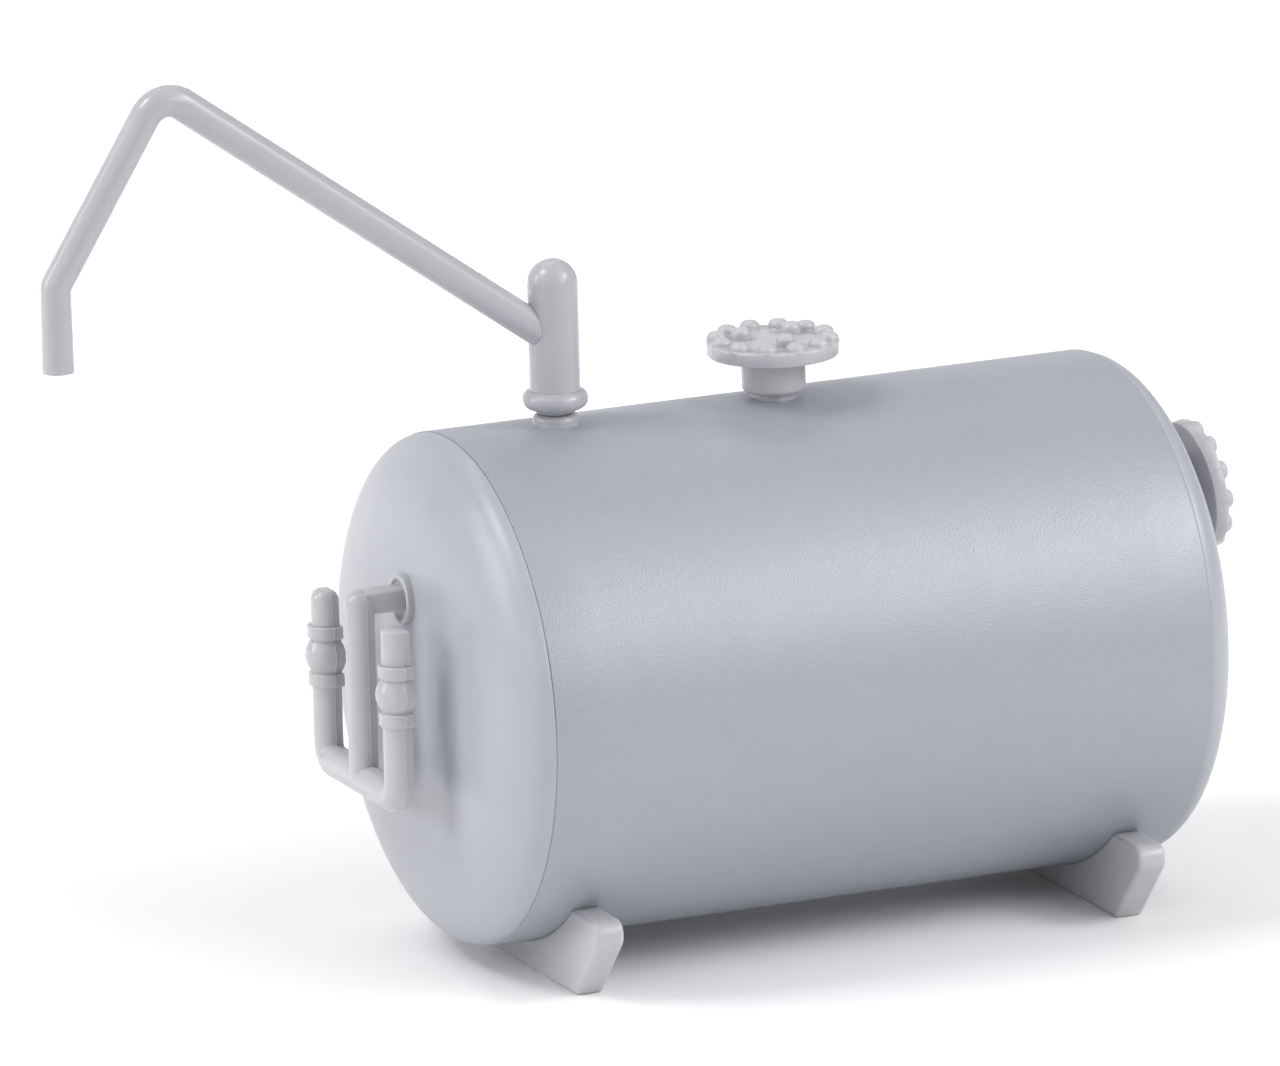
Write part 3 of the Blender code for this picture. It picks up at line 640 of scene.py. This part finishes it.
def make_port_cover(name, place, flange_top, turn):
    """The round cover with a circle of heads at its rim and three nearer the middle."""
    under, top = flange_top + COVER_FROM, flange_top + COVER_TO
    profile = [(0.0, top), (COVER_RADIUS - COVER_EDGE, top)]
    profile += arc((COVER_RADIUS - COVER_EDGE, top - COVER_EDGE), COVER_EDGE, 90, 0, 4)[1:]
    profile += [(COVER_RADIUS - 0.06 * MM, under + 0.2 * MM), (COVER_RADIUS - 0.2 * MM, under)]
    profile += [(0.0, under)]
    cover = lathe(name + "_cover_plate", profile, 144)
    circles = (
        (RIM_CIRCLE, RIM_HEADS, RIM_RISE, turn),
        (INNER_CIRCLE, INNER_HEADS, INNER_RISE, turn + INNER_TURN),
    )
    heads = []
    for circle, count, rise, first in circles:
        for i in range(count):
            angle = math.radians(first + 360.0 * i / count)
            spot = (circle * math.cos(angle), circle * math.sin(angle), top)
            heads.append(make_head(name, rise, Matrix.Translation(spot)))
    cover = cleaned(fused(cover, joined(name + "_heads", heads)))
    cover.data.transform(place)
    finish_piece(smooth(cover, 40), "tank", "port_plastic", name + "_cover")


def make_port(name, place, stub_top, cover_turn, on_crown):
    """A stub, a flange and a cover with domed bolt heads, up from the local origin."""
    flange_top = stub_top + FLANGE_TOP
    make_port_stub(name, place, stub_top, on_crown)
    make_port_flange(name, place, stub_top + STUB_TO_FLANGE, flange_top)
    make_port_cover(name, place, flange_top, cover_turn)


# --- outlet fork -----------------------------------------------------------------------
FORWARD = Vector((-1, 0, 0))


def on_fork(y, z):
    """A point in the plane of the fork's pipes."""
    return Vector((MANIFOLD_X, y, z))


def make_manifold(section):
    """The two risers and the crossbar in one sweep, and the stem joined to it."""
    low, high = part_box("left_valve")
    riser_top = middle("left_valve").z - (high.z - low.z) / 2 + 0.3 * MM
    left_top, right_top = on_fork(RISER_SPREAD, riser_top), on_fork(-RISER_SPREAD, riser_top)
    left_corner = on_fork(RISER_SPREAD, CROSSBAR_Z)
    right_corner = on_fork(-RISER_SPREAD, CROSSBAR_Z)
    route = [left_top, left_top.lerp(left_corner, 0.4)]
    route += rounded(left_top, left_corner, right_corner, FORK_BEND, 12)
    route += rounded(left_corner, right_corner, right_top, FORK_BEND, 12)
    route += [right_corner.lerp(right_top, 0.6), right_top]
    loop = sweep("outlet_fork", route, [PIPE_RADIUS] * len(route), section, FORWARD)
    stem_route, stem_radii = [], []
    for inset, share in ((0.0, 0.35), (0.12, 0.60), (0.35, 0.78), (0.8, 0.92), (1.5, 1.0)):
        stem_route.append(on_fork(0.0, STEM_TOP - inset * MM))
        stem_radii.append(share * PIPE_RADIUS)
    stem_route += [on_fork(0.0, STEM_TOP - 8 * MM), on_fork(0.0, CROSSBAR_Z)]
    stem_radii += [PIPE_RADIUS] * 2
    fork = fused(loop, sweep("stem", stem_route, stem_radii, section, FORWARD))
    finish_piece(smooth(fork, 32), "tank", "manifold_plastic", "outlet_manifold")


def make_valve(section, node, y, domed):
    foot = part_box(node)[0].z
    stations = valve_stations(domed)
    route = [on_fork(y, foot + height * MM) for height, _ in stations]
    radii = [radius * MM for _, radius in stations]
    valve = cleaned(sweep(node + "_body", route, radii, section, FORWARD))
    finish_piece(smooth(valve, 32), "tank", "manifold_plastic", node)


def make_outlet_arm():
    """The square bar from the front cap to the top of the fork's stem."""
    low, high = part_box("outlet_stub")
    under = low.z + STUB_CUT
    size = Vector((high.x - MANIFOLD_X, high.y - low.y, high.z - under))
    spot = Vector(((high.x + MANIFOLD_X) / 2, 0, (high.z + under) / 2))
    placed = Matrix.Translation(spot) @ Matrix.Diagonal((*size, 1))
    shape = bmesh.new()
    bmesh.ops.create_cube(shape, size=1.0, matrix=placed)
    bmesh.ops.bevel(
        shape, geom=shape.edges[:], offset=STUB_EDGE, segments=4, profile=0.5, affect="EDGES"
    )
    mesh = bpy.data.meshes.new("outlet_arm")
    shape.to_mesh(mesh)
    shape.free()
    stub = bpy.data.objects.new("outlet_arm", mesh)
    bpy.context.scene.collection.objects.link(stub)
    finish_piece(smooth(stub, 30), "tank", "manifold_plastic", "outlet_stub")


def make_rosette():
    """The ring that stands on the domed cap where the outlet leaves it."""
    crest = (ROSETTE_RADIUS - ROSETTE_BORE) / 2
    profile = [(ROSETTE_HOLE, 0.55 * MM), (2.6 * MM, 0.6 * MM)]
    profile += [(ROSETTE_BORE - 0.05 * MM, 0.75 * MM)]
    profile += arc((ROSETTE_BORE + crest, ROSETTE_TOP - crest), crest, 170, 0, 16)
    profile += [(ROSETTE_RADIUS, 0.1 * MM), (ROSETTE_RADIUS + FOOT_FLARE, -0.1 * MM)]
    profile += [(ROSETTE_HOLE, -0.1 * MM)]
    face_x = FRONT - cap_height(OUTLET_Z - AXIS_Z)
    place = along((face_x, 0, OUTLET_Z), FORWARD)
    ring = lathe("outlet_ring", profile, 72, ring=True, place=place)
    finish_piece(smooth(ring), "tank", "manifold_plastic", "outlet_rosette")


def make_fork():
    section = half_round_section()
    make_manifold(section)
    make_valve(section, "left_valve", RISER_SPREAD, domed=True)
    make_valve(section, "right_valve", -RISER_SPREAD, domed=False)
    make_outlet_arm()
    make_rosette()


def valve_stations(domed):
    """(height above the foot, radius) in mm, up the valve's two bands, its bulb and its nozzle."""
    band, band_edge, waist = 3.05, 2.95, 2.62
    low = [(0.0, 2.75), (0.0, band_edge), (0.12, band), (1.8, band), (2.0, band_edge)]
    low += [(2.1, waist)]
    bulb_foot, bulb_length, bulb_rise = 2.3, 4.95, 0.92
    bulb = []
    for i in range(19):
        swell = bulb_rise * math.sin(math.pi * i / 18) ** 0.9
        bulb.append((bulb_foot + bulb_length * i / 18, 2.58 + swell))
    ring = 7.45
    high = [(ring, waist), (ring + 0.1, band_edge), (ring + 0.3, band), (ring + 1.95, band)]
    high += [(ring + 2.08, 2.96), (ring + 2.1, 2.42)]
    end = ring + 2.1 + 5.5
    if domed:
        nozzle = [(end - 1.3, 2.38), (end - 0.75, 2.26), (end - 0.25, 1.95), (end, 1.55)]
    else:
        nozzle = [(end - 0.30, 2.38), (end - 0.08, 2.28), (end, 2.05)]
    return low + bulb + high + nozzle


def cap_height(offset):
    """How far an end cap stands out of the barrel, at this distance from the axis."""
    return CAP_DEPTH * math.sqrt(1 - (offset / CAP_RADIUS) ** CAP_POWER)


make_barrel()
make_cap(
    "front_cap_dome", "front_end_cap", FRONT, (-1, 0, 0),
    radius=CAP_RADIUS, rim=0.10 * MM, groove_depth=0.3 * MM,
)
make_cap(
    "rear_cap_dome", "rear_end_cap", REAR, (1, 0, 0),
    radius=REAR_CAP_RADIUS, rim=0.02 * MM, groove_depth=0.0,
)
make_saddle("front_saddle_plate", "front_saddle")
make_saddle("rear_saddle_plate", "rear_saddle")
make_arm()
manhole_place = Matrix.Translation((middle("manhole_flange").x, 0, CROWN))
make_port("manhole", manhole_place, MANHOLE_STUB_TOP, 0.0, on_crown=True)
port_place = Matrix.Translation((REAR + cap_height(PORT_RISE), 0, AXIS_Z + PORT_RISE))
port_place = port_place @ Matrix.Rotation(math.radians(90) - PORT_TILT, 4, "Y")
make_port("rear_port", port_place, REAR_STUB_TOP, REAR_COVER_TURN, on_crown=False)
make_fork()


# --- camera, floor and lights ----------------------------------------------------------
def aim(azimuth, elevation, roll):
    """Camera axes (right, up, back) for a view from that azimuth and elevation, in degrees."""
    a, e, r = (math.radians(v) for v in (azimuth, elevation, roll))
    back = Vector((math.sin(a) * math.cos(e), -math.cos(a) * math.cos(e), math.sin(e)))
    right = Vector((math.cos(a), math.sin(a), 0))
    up = back.cross(right)
    rolled_right = right * math.cos(r) + up * math.sin(r)
    rolled_up = up * math.cos(r) - right * math.sin(r)
    return rolled_right, rolled_up, back


def make_camera():
    right, up, back = aim(AZIMUTH, ELEVATION, ROLL)
    data = bpy.data.cameras.new("camera")
    data.sensor_width = 36.0
    data.sensor_fit = "HORIZONTAL"
    data.lens = LENS
    data.clip_start = 0.05
    data.clip_end = 50.0
    camera = bpy.data.objects.new("camera", data)
    bpy.context.scene.collection.objects.link(camera)
    place = Matrix((right, up, back)).transposed().to_4x4()
    place.translation = CENTRE + back * DISTANCE - right * AIM_LEFT + up * AIM_UP
    camera.matrix_world = place
    bpy.context.scene.camera = camera


def make_floor():
    size = 6.0
    corners = [(-size, -size, 0), (size, -size, 0), (size, size, 0), (-size, size, 0)]
    floor = new_object("floor", corners, [(0, 1, 2, 3)])
    material = bpy.data.materials.new("floor_paper")
    material.use_nodes = True
    shader = material.node_tree.nodes["Principled BSDF"]
    shader.inputs["Base Color"].default_value = (0.93, 0.93, 0.935, 1)
    shader.inputs["Roughness"].default_value = 0.9
    shader.inputs["Specular IOR Level"].default_value = 0.1
    floor.data.materials.append(material)


def softbox(name, direction, distance, width, height, power):
    """An area light that faces the barrel's middle."""
    data = bpy.data.lights.new(name, "AREA")
    data.shape = "RECTANGLE"
    data.size = width
    data.size_y = height
    data.energy = power
    light = bpy.data.objects.new(name, data)
    bpy.context.scene.collection.objects.link(light)
    direction = Vector(direction).normalized()
    light.location = CENTRE + direction * distance
    light.rotation_euler = direction.to_track_quat("Z", "Y").to_euler()
    return light


def make_lights():
    world = bpy.data.worlds.new("studio")
    world.use_nodes = True
    background = world.node_tree.nodes["Background"]
    background.inputs["Color"].default_value = (1.0, 1.0, 1.0, 1)
    background.inputs["Strength"].default_value = 0.30
    bpy.context.scene.world = world
    for name, direction, width, power in SOFTBOXES:
        softbox(name, direction, SOFTBOX_DISTANCE, width, width, power)
    softbox("backdrop", (0.05, 0.97, 0.24), 3.2, 4.0, 1.6, 10.0)
    behind = softbox("floor_light", (0, 0, 1), 1.0, 1.6, 0.8, 4.0)
    behind.location = (0.25, 0.80, 0.95)
    behind.rotation_euler = (0, 0, 0)
    behind.data.spread = math.radians(95)


make_camera()
make_floor()
make_lights()
bpy.context.scene.view_settings.view_transform = "Standard"
